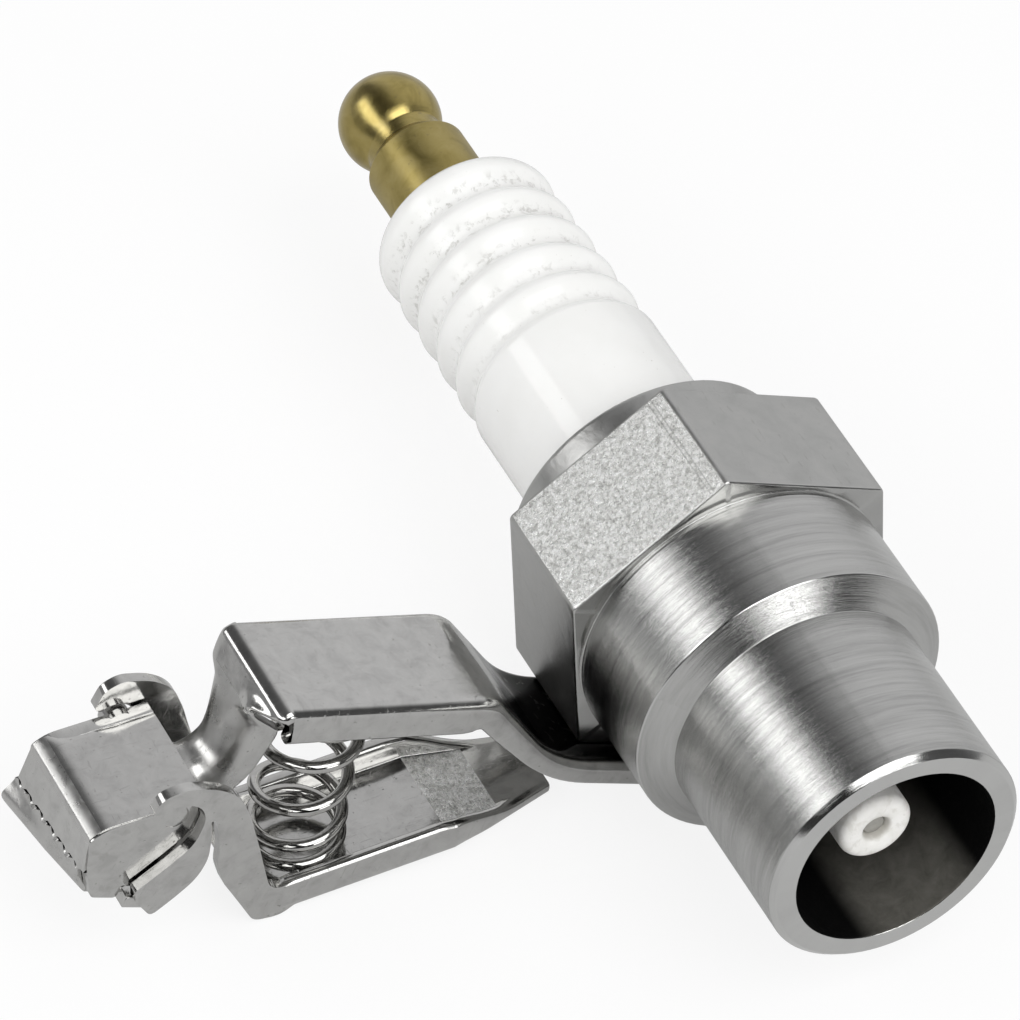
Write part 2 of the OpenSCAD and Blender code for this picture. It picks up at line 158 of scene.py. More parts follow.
class Shade:
    """A material with a Principled shader and short calls for the nodes that feed it."""

    def __init__(self, name, color, metallic, roughness):
        self.material = bpy.data.materials.new(name)
        self.material.use_nodes = True
        self.tree = self.material.node_tree
        self.shader = self.tree.nodes["Principled BSDF"]
        self.shader.inputs["Base Color"].default_value = (*color, 1)
        self.shader.inputs["Metallic"].default_value = metallic
        self.shader.inputs["Roughness"].default_value = roughness
        self.material.diffuse_color = (*color, 1)
        coords = self.node("ShaderNodeTexCoord")
        mapping = self.node("ShaderNodeMapping", vector_type="TEXTURE")
        mapping.inputs["Location"].default_value = [v * MM for v in SHIFT]
        mapping.inputs["Rotation"].default_value = (math.radians(90), ROLL, 0)
        mapping.inputs["Scale"].default_value = (MM, MM, MM)
        wire(self.tree, coords.outputs["Object"], mapping.inputs["Vector"])
        self.plug = mapping.outputs["Vector"]
        parts = self.node("ShaderNodeSeparateXYZ")
        wire(self.tree, self.plug, parts.inputs[0])
        self.s, self.t, self.a = parts.outputs

    def node(self, kind, **settings):
        made = self.tree.nodes.new(kind)
        for key, value in settings.items():
            setattr(made, key, value)
        return made

    def math(self, operation, a, b=0.0):
        return math_node(self.tree, operation, a, b)

    def times(self, a, b):
        return self.math("MULTIPLY", a, b)

    def weighted(self, a, a_share, b, b_share):
        return self.math("ADD", self.times(a, a_share), self.times(b, b_share))

    def vector(self, x, y, z):
        made = self.node("ShaderNodeCombineXYZ")
        for socket, value in zip(made.inputs, (x, y, z)):
            put(self.tree, socket, value)
        return made.outputs[0]

    def stretched(self, scale):
        made = self.node("ShaderNodeVectorMath", operation="MULTIPLY")
        wire(self.tree, self.plug, made.inputs[0])
        made.inputs[1].default_value = scale
        return made.outputs[0]

    def radius(self):
        return self.math("SQRT", self.weighted(self.s, self.s, self.t, self.t))

    def angle(self):
        return self.math("ARCTAN2", self.t, self.s)

    def unrolled(self, share):
        """Coordinates for marks that run around the plug: a share of the angle, and the place along it."""
        return self.vector(self.times(self.angle(), share), 0.0, self.a)

    def noise(self, vector, scale, detail=4.0, rough=0.55, distortion=0.0):
        made = self.node("ShaderNodeTexNoise")
        wire(self.tree, vector, made.inputs["Vector"])
        made.inputs["Scale"].default_value = scale
        made.inputs["Detail"].default_value = detail
        made.inputs["Roughness"].default_value = rough
        made.inputs["Distortion"].default_value = distortion
        return made.outputs["Fac"]

    def ramp(self, value, stops):
        return ramp_node(self.tree, value, stops)

    def level(self, value, low, high, out_low=0.0, out_high=1.0):
        return level_node(self.tree, value, low, high, out_low, out_high)

    def stain(self, tone, mask, color, strength=1.0):
        """The tone with a colour over it where the mask is high."""
        made = self.node("ShaderNodeMix", data_type="RGBA")
        put(self.tree, made.inputs["Factor"], self.times(mask, strength))
        wire(self.tree, tone, made.inputs[6])
        made.inputs[7].default_value = (*color, 1)
        return made.outputs[2]

    def bump(self, height, distance, strength=1.0, below=None):
        made = self.node("ShaderNodeBump")
        made.inputs["Strength"].default_value = strength
        made.inputs["Distance"].default_value = distance * MM
        wire(self.tree, height, made.inputs["Height"])
        if below is not None:
            wire(self.tree, below, made.inputs["Normal"])
        return made.outputs["Normal"]

    def finish(self, color, roughness, normal):
        wire(self.tree, color, self.shader.inputs["Base Color"])
        wire(self.tree, roughness, self.shader.inputs["Roughness"])
        wire(self.tree, normal, self.shader.inputs["Normal"])
        return self.material


def turned_steel(name, color, rough, line_depth, streak):
    """Steel with fine lathe lines around the plug and soft streaks of wear."""
    m = Shade(name, color, 1.0, rough)
    turn = m.angle()
    around = m.vector(m.times(m.math("COSINE", turn), 0.6), m.times(m.math("SINE", turn), 0.6), m.a)
    lines = m.noise(m.unrolled(0.15), 9.0, 6.0, 0.75)
    bands = m.noise(m.unrolled(0.35), 2.4, 5.0, 0.7)
    wear = m.noise(around, 0.9, 3.0, 0.55, 0.3)
    dark, light = scaled(color, 1 - streak), scaled(color, 1 + 0.6 * streak)
    tone = m.ramp(m.weighted(bands, 0.75, wear, 0.25), [(0.3, dark), (0.5, color), (0.72, light)])
    roughness = m.level(m.weighted(lines, 0.5, wear, 0.5), 0.3, 0.7, rough * 0.8, rough * 1.35)
    normal = m.bump(lines, line_depth, 0.6)
    return m.finish(tone, roughness, m.bump(bands, 0.04, 0.35, normal))


def satin_steel():
    """Flats of the hexagon: satin plating with faint marks."""
    color = (0.44, 0.44, 0.43)
    m = Shade("satin_steel", color, 1.0, 0.3)
    cloud = m.noise(m.plug, 0.5, 5.0, 0.6, 0.4)
    grain = m.noise(m.stretched((1.0, 1.0, 0.35)), 14.0, 4.0, 0.7)
    marks = m.level(m.noise(m.stretched((1.6, 1.6, 0.5)), 2.2, 2.0, 0.5), 0.66, 0.72)
    tone = m.ramp(cloud, [(0.3, (0.39, 0.39, 0.38)), (0.5, color), (0.7, (0.48, 0.477, 0.465))])
    tone = m.stain(tone, marks, (0.25, 0.245, 0.23), 0.25)
    roughness = m.level(m.weighted(cloud, 0.6, grain, 0.4), 0.3, 0.7, 0.28, 0.42)
    normal = m.bump(grain, 0.012, 0.5)
    return m.finish(tone, roughness, m.bump(cloud, 0.2, 0.3, normal))


def sparkling_steel():
    """The rough upper flat of the hexagon, whose grain glitters, with two scribed lines near its edge."""
    m = Shade("sparkling_steel", (0.70, 0.70, 0.68), 1.0, 0.3)
    grain = m.noise(m.plug, 3.4, 5.0, 0.7, 0.3)
    fine = m.noise(m.plug, 8.0, 3.0, 0.7)
    tone = m.ramp(grain, [(0.36, (0.50, 0.50, 0.48)), (0.5, (0.80, 0.80, 0.78)), (0.6, (0.97, 0.97, 0.96))])
    across = m.weighted(m.s, -0.5, m.t, -0.866)
    line_a = m.level(m.math("ABSOLUTE", m.math("ADD", across, 4.95)), 0.02, 0.06, 1.0, 0.0)
    line_b = m.level(m.math("ABSOLUTE", m.math("ADD", across, 4.7)), 0.02, 0.05, 1.0, 0.0)
    on_flat = m.level(m.s, -12.0, -11.9)
    lines = m.times(m.math("MAXIMUM", line_a, line_b), on_flat)
    tone = m.stain(tone, lines, (0.3, 0.3, 0.29), 0.5)
    roughness = m.level(fine, 0.3, 0.7, 0.2, 0.45)
    normal = m.bump(grain, 0.12, 0.9)
    return m.finish(tone, roughness, m.bump(fine, 0.05, 0.8, normal))


def bore_steel():
    """Sooty inside of the open end, with painted shade that leaves it near black except on its lower side
    towards the end.
    """
    m = Shade("bore_steel", (0.10, 0.097, 0.09), 0.0, 0.7)
    m.shader.inputs["Specular IOR Level"].default_value = 0.08
    soot = m.noise(m.plug, 0.9, 5.0, 0.65, 0.5)
    lower = m.level(m.weighted(m.s, 0.74, m.t, -0.67), 4.9, 6.1)
    # Painted shade: near black everywhere but the lower side towards the open end, where light gets in
    lit_side = m.times(m.level(m.a, 4.0, 20.0), lower)
    tone = m.ramp(soot, [(0.3, (0.075, 0.072, 0.063)), (0.7, (0.125, 0.12, 0.107))])
    tone = m.stain(tone, m.math("SUBTRACT", 1.0, lit_side), (0.002, 0.002, 0.002))
    return m.finish(tone, m.level(soot, 0.3, 0.7, 0.55, 0.8), m.bump(soot, 0.1, 0.5))


def glazed_ceramic():
    """White glaze, darker in speckles in the bottoms of the grooves."""
    m = Shade("glazed_ceramic", (0.90, 0.90, 0.885), 0.0, 0.16)
    m.shader.inputs["Specular IOR Level"].default_value = 0.3
    groove = m.level(m.radius(), 5.35, 5.95, 1.0, 0.0)
    specks = m.level(m.noise(m.plug, 1.7, 5.0, 0.7, 0.4), 0.50, 0.66)
    # Speckled darkening in the bottoms of the grooves
    groove_dark = m.times(groove, specks)
    cloud = m.noise(m.plug, 0.25, 3.0, 0.5)
    tone = m.ramp(cloud, [(0.35, (0.89, 0.89, 0.87)), (0.65, (0.92, 0.92, 0.905))])
    tone = m.stain(tone, groove_dark, (0.33, 0.32, 0.29), 0.6)
    dots = m.level(m.noise(m.plug, 4.5, 2.0, 0.5), 0.74, 0.80)
    tone = m.stain(tone, dots, (0.42, 0.40, 0.36), 0.5)
    roughness = m.level(groove_dark, 0.0, 1.0, 0.1, 0.3)
    return m.finish(tone, roughness, m.bump(m.noise(m.plug, 0.9, 2.0), 0.05, 0.25))


def bare_ceramic():
    """Matte unglazed tip with a faint stain, and painted shade in the hole in its end."""
    m = Shade("bare_ceramic", (0.84, 0.83, 0.80), 0.0, 0.6)
    cloud = m.noise(m.plug, 0.8, 5.0, 0.6, 0.5)
    tone = m.ramp(cloud, [(0.3, (0.80, 0.79, 0.75)), (0.55, (0.88, 0.87, 0.84)), (0.75, (0.92, 0.91, 0.89))])
    spots = m.level(m.noise(m.plug, 1.4, 3.0, 0.6, 0.5), 0.5, 0.65)
    tone = m.stain(tone, spots, (0.5, 0.48, 0.42), 0.25)
    # Painted shade in the hole at the tip's end
    hole = m.times(m.level(m.a, 17.3, 17.5), m.level(m.radius(), 0.8, 1.05, 1.0, 0.0))
    tone = m.stain(tone, hole, (0.34, 0.32, 0.27), 0.6)
    return m.finish(tone, m.level(cloud, 0.3, 0.7, 0.5, 0.7), m.bump(m.noise(m.plug, 5.0, 4.0), 0.05, 0.4))


def old_brass():
    """Olive brass with rubbed lines around it, smoother on the ball than on the base."""
    m = Shade("old_brass", (0.58, 0.47, 0.22), 1.0, 0.24)
    lines = m.noise(m.unrolled(0.12), 8.0, 5.0, 0.7)
    cloud = m.noise(m.plug, 0.6, 4.0, 0.6, 0.6)
    tone = m.ramp(cloud, [(0.3, (0.29, 0.23, 0.075)), (0.5, (0.38, 0.305, 0.11)), (0.72, (0.44, 0.36, 0.15))])
    spots = m.level(m.noise(m.plug, 2.6, 3.0, 0.6), 0.64, 0.72)
    tone = m.stain(tone, spots, (0.22, 0.18, 0.10), 0.4)
    on_base = m.level(m.a, -44.2, -43.2)
    roughness = m.math("ADD", m.level(cloud, 0.3, 0.7, 0.16, 0.26), m.times(on_base, 0.2))
    normal = m.bump(lines, 0.02, 0.5)
    return m.finish(tone, roughness, m.bump(cloud, 0.05, 0.3, normal))


def nickel(name, color, rough, painted_shade=False):
    """Bright plating over pressed sheet: soft dents, scratches and pits, and, if asked for, a near black
    patch of painted shade with painted glints that stands in for a dark reflection.
    """
    m = Shade(name, color, 1.0, rough)
    dents = m.noise(m.plug, 0.33, 3.0, 0.5, 0.3)
    cloud = m.noise(m.plug, 0.8, 5.0, 0.6, 0.5)
    scratch_a = m.level(m.noise(m.stretched((0.25, 0.25, 3.5)), 2.6, 3.0, 0.6), 0.62, 0.70)
    scratch_b = m.level(m.noise(m.stretched((2.8, 0.3, 0.5)), 2.2, 3.0, 0.6), 0.64, 0.70)
    scratches = m.math("MAXIMUM", scratch_a, scratch_b)
    pits = m.level(m.noise(m.plug, 3.6, 2.0, 0.5), 0.70, 0.76)
    tone = m.ramp(cloud, [(0.3, scaled(color, 0.86)), (0.5, color), (0.7, scaled(color, 1.08))])
    tone = m.stain(tone, scratches, (0.27, 0.265, 0.25), 0.22)
    tone = m.stain(tone, pits, (0.12, 0.115, 0.10), 0.5)
    if painted_shade:
        # Painted shade with painted glints on the top of the strap beside the hexagon, standing in for the
        # dark reflection of the hexagon
        rise = m.math("ADD", m.t, m.times(m.s, 0.5))
        edge = m.math("ADD", m.a, m.times(cloud, 0.8))
        shade_patch = m.times(m.level(m.s, -12.7, -12.4), m.level(edge, 1.5, 1.9, 1.0, 0.0))
        shade_patch = m.times(shade_patch, m.level(rise, -16.4, -15.9))
        shade_patch = m.times(shade_patch, m.level(m.t, -10.75, -10.6))
        painted_glint = m.level(m.noise(m.plug, 1.3, 4.0, 0.6), 0.60, 0.66, 1.0, 0.5)
        tone = m.stain(tone, m.times(shade_patch, painted_glint), (0.025, 0.025, 0.025))
    roughness = m.level(m.weighted(cloud, 0.7, scratches, 0.3), 0.25, 0.75, rough * 0.75, rough * 1.5)
    normal = m.bump(dents, 0.12, 0.3)
    normal = m.bump(scratches, 0.006, 0.3, normal)
    return m.finish(tone, roughness, m.bump(pits, 0.02, 0.3, normal))


def plain_inner(name, color, metallic, rough):
    """Hidden inner pieces: a plain finish with mild grain."""
    m = Shade(name, color, metallic, rough)
    grain = m.noise(m.plug, 1.6, 5.0, 0.65)
    tone = m.ramp(grain, [(0.3, scaled(color, 0.8)), (0.7, scaled(color, 1.15))])
    return m.finish(tone, m.level(grain, 0.3, 0.7, rough * 0.8, rough * 1.2), m.bump(grain, 0.05, 0.4))


NICKEL_TONE = (0.50, 0.497, 0.485)
STEEL_TURNED = turned_steel("turned_steel", (0.46, 0.46, 0.45), 0.17, 0.03, 0.3)
STEEL_POLISHED = turned_steel("polished_steel", (0.56, 0.56, 0.55), 0.12, 0.01, 0.12)
STEEL_SATIN = satin_steel()
STEEL_SPARKLE = sparkling_steel()
STEEL_BORE = bore_steel()
GLAZE = glazed_ceramic()
BISQUE = bare_ceramic()
BRASS = old_brass()
# The plating carries the patch of painted shade with painted glints on the strap beside the hexagon
NICKEL = nickel("nickel_plate", NICKEL_TONE, 0.16, True)
NICKEL_WORN = nickel("worn_nickel", NICKEL_TONE, 0.36)
# Near black, painted shade for the gap between the teeth, on the end faces of the toothed rows
TOOTH_GAP_SHADE = nickel("tooth_gap_shade", (0.06, 0.058, 0.055), 0.5)
SPRING_STEEL = nickel("spring_steel", (0.46, 0.455, 0.44), 0.1)


# Mesh helpers

def add_mesh(name, points, faces, materials, indices=None, sharp_degrees=40):
    mesh = bpy.data.meshes.new(name)
    mesh.from_pydata([tuple(p) for p in points], [], faces)
    for material in materials:
        mesh.materials.append(material)
    if indices is not None:
        mesh.polygons.foreach_set("material_index", indices)
    mesh.update()
    shaped = bmesh.new()
    shaped.from_mesh(mesh)
    bmesh.ops.remove_doubles(shaped, verts=shaped.verts, dist=1e-7)
    bmesh.ops.recalc_face_normals(shaped, faces=shaped.faces)
    for face in shaped.faces:
        face.smooth = True
    limit = math.radians(sharp_degrees)
    for edge in shaped.edges:
        if len(edge.link_faces) == 2 and edge.calc_face_angle() > limit:
            edge.smooth = False
    shaped.to_mesh(mesh)
    shaped.free()
    obj = bpy.data.objects.new(name, mesh)
    bpy.context.collection.objects.link(obj)
    return obj


def ring_faces(ring_count, length, closed=True):
    faces = []
    last = length if closed else length - 1
    for i in range(ring_count - 1):
        for j in range(last):
            k = (j + 1) % length
            faces.append((i * length + j, i * length + k, (i + 1) * length + k, (i + 1) * length + j))
    return faces


def end_caps(ring_count, length):
    return [tuple(range(length)), tuple((ring_count - 1) * length + k for k in range(length))]


def round_corner(before, corner, after, size, steps, straight_degrees, most):
    """Points of a rounded corner, which takes at most a share of each side; a nearly straight one stays."""
    corner = Vector(corner)
    to_before, to_after = Vector(before) - corner, Vector(after) - corner
    if size <= 0 or min(to_before.length, to_after.length) < 1e-6:
        return [corner]
    opening = to_before.angle(to_after)
    if opening > math.radians(straight_degrees):
        return [corner]
    reach = min(size / math.tan(opening / 2), most * to_before.length, most * to_after.length)
    start, end = corner + to_before.normalized() * reach, corner + to_after.normalized() * reach
    out = []
    for k in range(steps + 1):
        share = k / steps
        out.append(start.lerp(corner, share).lerp(corner.lerp(end, share), share))
    return out


def fillet(points, radii, steps):
    """An open line of (r, a) points with round corners."""
    out = [Vector(points[0])]
    for i in range(1, len(points) - 1):
        out += round_corner(points[i - 1], points[i], points[i + 1], radii[i], steps, 176, 0.45)
    out.append(Vector(points[-1]))
    return out


def rounded(outline, radii, steps=5):
    """A closed outline with round corners."""
    out = []
    for i, corner in enumerate(outline):
        after = outline[(i + 1) % len(outline)]
        out += round_corner(outline[i - 1], corner, after, radii[i], steps, 175, 0.48)
    return out


def lathe(name, profile, material, columns=160, sharp_degrees=50):
    """Turns a list of (r, a) points about the plug's axis, and closes an end that comes near the axis."""
    points = [turned_point(r, 2 * math.pi * j / columns, a) for r, a in profile for j in range(columns)]
    faces = ring_faces(len(profile), columns)
    for cap, (r, a) in zip(end_caps(len(profile), columns), (profile[0], profile[-1])):
        if r < 0.2:
            faces.append(cap)
    return add_mesh(name, points, faces, [material], None, sharp_degrees)


def even_normals(obj):
    obj.modifiers.new("normals", "WEIGHTED_NORMAL").keep_sharp = True


def soften(obj, width, thickness=None, segments=2):
    """Gives a bent sheet its thickness, if it has none yet, and its worn edges."""
    if thickness:
        solid = obj.modifiers.new("thickness", "SOLIDIFY")
        solid.thickness = thickness * MM
        solid.offset = 0.0
        solid.use_quality_normals = True
    edge = obj.modifiers.new("edges", "BEVEL")
    edge.width = width * MM
    edge.segments = segments
    edge.limit_method = "ANGLE"
    edge.angle_limit = math.radians(50)
    even_normals(obj)


# Shell

HEX_AF, HEX_CORNER_ROUND = 20.6, 0.45
EDGE, EDGE_MIDDLE = 0.15, 0.04
HEX_REAR, BOSS_R, BOSS_END = -8.5, 9.2, -11.2
LIP_R = 6.36
COLLAR_R, COLLAR_LEN, COLLAR_FOOT, CONE_LEN = 10.05, 7.5, 0.12, 1.15
BARREL_R, NOSE_END, NOSE_CHAMFER = 8.15, 20.95, 0.42
NOSE_BORE_R, BORE_FLOOR = 6.48, 3.6
GLITTER_FLAT = 2


def hex_columns(flat_steps=14, corner_steps=4):
    """Angle and radius of the hexagon's outline, with slightly rounded corners, and its flat's number."""
    apothem = HEX_AF / 2
    inner = apothem - HEX_CORNER_ROUND
    half = inner * math.tan(math.radians(30))
    out = []
    for flat in range(6):
        normal = math.radians(30 + 60 * flat)
        along = left_of(polar(normal))
        for k in range(flat_steps + 1):
            p = polar(normal) * apothem + along * lerp(-half, half, k / flat_steps)
            out.append((math.atan2(p[1], p[0]), p.length, flat))
        center = polar(normal) * inner + along * half
        for k in range(1, corner_steps + 1):
            turn = normal + math.radians(60) * k / (corner_steps + 1)
            p = center + HEX_CORNER_ROUND * polar(turn)
            out.append((math.atan2(p[1], p[0]), p.length, 6))
    return out


def build_shell():
    columns = hex_columns()
    rows = []

    def round_row(r, a, finish):
        rows.append(([r] * len(columns), a, finish))

    def hex_row(inset, a, finish):
        rows.append(([hex_r - inset for turn, hex_r, flat in columns], a, finish))

    # Crimped lip and round boss behind the hexagon, from the insulator outwards
    boss = [(LIP_R, -8.6), (LIP_R, BOSS_END + 0.1), (7.3, BOSS_END), (BOSS_R, BOSS_END), (BOSS_R, HEX_REAR)]
    for r, a in fillet(boss, [0, 0.2, 0.3, 0.5, 0], 5):
        round_row(r, a, "rear")
    # Rear face, straight rear edges, flats and front edges of the hexagon
    round_row(BOSS_R + 0.03, HEX_REAR, "rear")
    hex_row(EDGE, HEX_REAR, "rear")
    hex_row(EDGE_MIDDLE, HEX_REAR + EDGE_MIDDLE, "front")
    for k in range(10):
        hex_row(0, lerp(HEX_REAR + EDGE, -EDGE, k / 9), "flat")
    hex_row(EDGE_MIDDLE, -EDGE_MIDDLE, "front")
    hex_row(EDGE, 0.0, "front")
    # Collar, cone, barrel and bore
    cone_end = COLLAR_LEN + CONE_LEN
    profile = [(COLLAR_R + 0.02, 0.0), (COLLAR_R - COLLAR_FOOT, 0.06), (COLLAR_R - COLLAR_FOOT, 0.3),
               (COLLAR_R, 0.5), (COLLAR_R, 3.7), (COLLAR_R, COLLAR_LEN), (BARREL_R, cone_end),
               (BARREL_R, NOSE_END - NOSE_CHAMFER), (BARREL_R - NOSE_CHAMFER, NOSE_END),
               (NOSE_BORE_R, NOSE_END), (NOSE_BORE_R, NOSE_END - 4), (NOSE_BORE_R, BORE_FLOOR)]
    for r, a in fillet(profile, [0, 0.05, 0.05, 0.08, 0, 0.16, 0.12, 0.14, 0.2, 0.16, 0, 0], 4):
        in_bore = r < NOSE_BORE_R + 0.02
        on_cone = COLLAR_LEN - 0.1 < a < cone_end - 0.05 and r < COLLAR_R - 0.01
        if on_cone or a > NOSE_END - 0.25 and not in_bore:
            round_row(r, a, "polished")
        else:
            round_row(r, a, "bore" if in_bore else "turned")
    points = [turned_point(r, column[0], a) for radii, a, finish in rows for r, column in zip(radii, columns)]
    slot = {"rear": 1, "flat": 1, "front": 0, "turned": 0, "polished": 2, "bore": 3}
    indices = []
    for first, second in zip(rows, rows[1:]):
        for turn, hex_r, flat in columns:
            glitters = first[2] == second[2] == "flat" and flat == GLITTER_FLAT
            indices.append(4 if glitters else slot[second[2]])
    obj = add_mesh("shell_body", points, ring_faces(len(rows), len(columns)),
                   [STEEL_TURNED, STEEL_SATIN, STEEL_POLISHED, STEEL_BORE, STEEL_SPARKLE], indices, 60)
    even_normals(obj)
    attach(obj, "plug")
    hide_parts("shell")


# Insulator and terminal

INSULATOR_R, INSULATOR_TOP, STUD_HOLE_R = 6.31, -37.1, 1.95
GROOVE_COUNT, GROOVE_PITCH, GROOVE_DEPTH, RIB_TAPER, TOP_BEAD = 5, 2.79, 0.6, 0.3, 1.5
GROOVE_STEPS = 22
TIP_R, TIP_END, TIP_ROUND = 2.35, 18.65, 0.55


def build_insulator():
    bead_at = INSULATOR_TOP + TOP_BEAD
    grooves_from = bead_at + GROOVE_COUNT * GROOVE_PITCH
    profile = [(STUD_HOLE_R, INSULATOR_TOP + 3), (STUD_HOLE_R, INSULATOR_TOP)]
    for k in range(13):
        bead = TOP_BEAD * heading(-90 + 90 * k / 12)
        profile.append((INSULATOR_R - RIB_TAPER - TOP_BEAD + bead[0], bead_at + bead[1]))
    for i in range(GROOVE_COUNT * GROOVE_STEPS - 1, -1, -1):
        count = i / GROOVE_STEPS
        r = INSULATOR_R - RIB_TAPER * count / GROOVE_COUNT
        r -= GROOVE_DEPTH * (1 - math.cos(2 * math.pi * count)) / 2
        profile.append((r, grooves_from - GROOVE_PITCH * count))
    profile += [(INSULATOR_R, a) for a in (grooves_from + 3, -12, -10.3, -8.9)]
    body = lathe("insulator_body", profile, GLAZE)
    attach(body, "plug")
    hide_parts("insulator")
    # Tip with a round rim and a hole that shows the electrode
    round_at = TIP_END - TIP_ROUND
    tip = [(5.5, BORE_FLOOR), (TIP_R + 0.15, 11.4), (TIP_R, 12.5), (TIP_R, 15.5), (TIP_R, round_at)]
    for degrees in range(15, 91, 15):
        rim = TIP_ROUND * heading(degrees)
        tip.append((TIP_R - TIP_ROUND + rim[0], round_at + rim[1]))
    tip += [(1.3, TIP_END), (0.98, TIP_END - 0.1), (0.8, TIP_END - 0.3), (0.74, TIP_END - 0.95),
            (0.1, TIP_END - 1)]
    nose = lathe("insulator_tip", tip, BISQUE, 96)
    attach(nose, "plug")


def build_terminal():
    top, base_end, waist_end = -49.8, -43.0, -43.9
    ball_r, flat_r, waist_r, base_r = 3.3, 1.6, 2.55, 3.35
    center = top + math.sqrt(ball_r ** 2 - flat_r ** 2)
    corners = [(0.1, top), (flat_r, top)]
    start, end = math.acos(flat_r / ball_r), math.acos(waist_r / ball_r)
    for k in range(1, 25):
        p = ball_r * polar(lerp(-start, end, k / 24))
        corners.append((p[0], center + p[1]))
    corners += [(waist_r, waist_end), (base_r, base_end), (base_r, INSULATOR_TOP),
                (STUD_HOLE_R, INSULATOR_TOP)]
    rounds = [0, 0.12] + [0] * 23 + [0.35, 0.25, 0.2, 0.15, 0]
    obj = lathe("terminal_body", fillet(corners, rounds, 5), BRASS, 96, 55)
    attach(obj, "plug")
    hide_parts("terminal_nut")


# Clip sizes, with places in its side view

SHEET, SHEET_SEEN, EAR_IN, EAR_T = 1.0, 0.8, 4.35, 0.7
UNDERSIDE = SHEET_SEEN - SHEET / 2
HALF_W, LIP_HALF, NECK_HALF, FLOOR_HALF, TAIL_HALF, FAR_TAIL_HALF = 4.2, 4.08, 1.95, 3.1, 1.5, 3.2
FLANGE_DEPTH, FLANGE_BEND = 2.45, 0.75
FLOOR_STEPS = 8
UPPER_TILT, LOWER_TILT, JAW_TILT = 5.6, 26.7, 30.0
STRAP_END, STRAP_BEND = Vector((1.5, -10.8)), Vector((-8.6, -10.8))
UPPER_REAR = Vector((-14.4, -6.7))
UPPER_FRONT = UPPER_REAR - 15.4 * heading(UPPER_TILT)
PIVOT = UPPER_FRONT - Vector((4.3, 6.7))
PLATE_REAR = PIVOT + Vector((1.2, 1.05))
JAW_FRONT = PLATE_REAR - 6.8 * heading(JAW_TILT)
CREASE = JAW_FRONT + Vector((-0.33, 0.35))
LIP_END = JAW_FRONT - Vector((0.1, 2.5))
LOWER_FRONT = PIVOT + Vector((10.1, -7.7))
LOWER_REAR = LOWER_FRONT + 12.6 * heading(LOWER_TILT)
TAIL_END = LOWER_REAR + 7.6 * heading(18.0)
LOWER_JAW_FRONT = LIP_END + Vector((0.85, -1.5))
LOWER_JAW_REAR = Vector((PIVOT[0] + 1.0, LOWER_JAW_FRONT[1]))
LEG_TOP, LEG_W = PIVOT + Vector((2.7, 0.1)), 2.3
TOOTH_COUNT, TOOTH_DEPTH, TOOTH_GAP = 6, 0.5, 0.12
CHEEK_W, CHEEK_T, CHEEK_FOOT = HALF_W - 0.45, 0.9, LOWER_JAW_FRONT[1] + 0.05
LUG_R, LUG_START = 0.9, HALF_W - 0.5
LUG_ENDS = {"near": HALF_W + 0.02, "far": -EAR_IN - 0.7}
SIDES = ((1, "near"), (-1, "far"))


# Sheet metal helpers

def bent_path(points, radii, step=0.35, arc_steps=9):
    """Evenly sampled path with round bends: a list of (point, tangent, distance)."""
    corners = [Vector(p) for p in points]
    line = [corners[0]]
    for i in range(1, len(corners) - 1):
        back = (corners[i - 1] - corners[i]).normalized()
        ahead = (corners[i + 1] - corners[i]).normalized()
        opening = back.angle(ahead)
        reach = radii[i] / math.tan(opening / 2)
        middle = corners[i] + (back + ahead).normalized() * radii[i] / math.sin(opening / 2)
        start = corners[i] + back * reach - middle
        end = corners[i] + ahead * reach - middle
        span = start.angle(end)
        side = 1 if start[0] * end[1] - start[1] * end[0] > 0 else -1
        for k in range(arc_steps + 1):
            turn = side * span * k / arc_steps
            cos, sin = math.cos(turn), math.sin(turn)
            line.append(middle + Vector((start[0] * cos - start[1] * sin, start[0] * sin + start[1] * cos)))
    line.append(corners[-1])
    fine = [line[0]]
    for a, b in zip(line, line[1:]):
        count = max(1, int((b - a).length / step))
        fine += [a.lerp(b, k / count) for k in range(1, count + 1)]
    out = []
    distance = 0.0
    for i, p in enumerate(fine):
        ahead = fine[min(i + 1, len(fine) - 1)] - fine[max(i - 1, 0)]
        if i:
            distance += (p - fine[i - 1]).length
        out.append((p, ahead.normalized(), distance))
    return out


def with_rows(path, places):
    """The path with more rows at some distances, where its width changes quickly."""
    out = []
    for first, second in zip(path, path[1:]):
        out.append(first)
        for place in sorted(places):
            if first[2] + 0.02 < place < second[2] - 0.02:
                share = (place - first[2]) / (second[2] - first[2])
                along = first[1].lerp(second[1], share).normalized()
                out.append((first[0].lerp(second[0], share), along, place))
    out.append(path[-1])
    return out


def at_corner(path, corner):
    return min(path, key=lambda item: (item[0] - corner).length)[2]


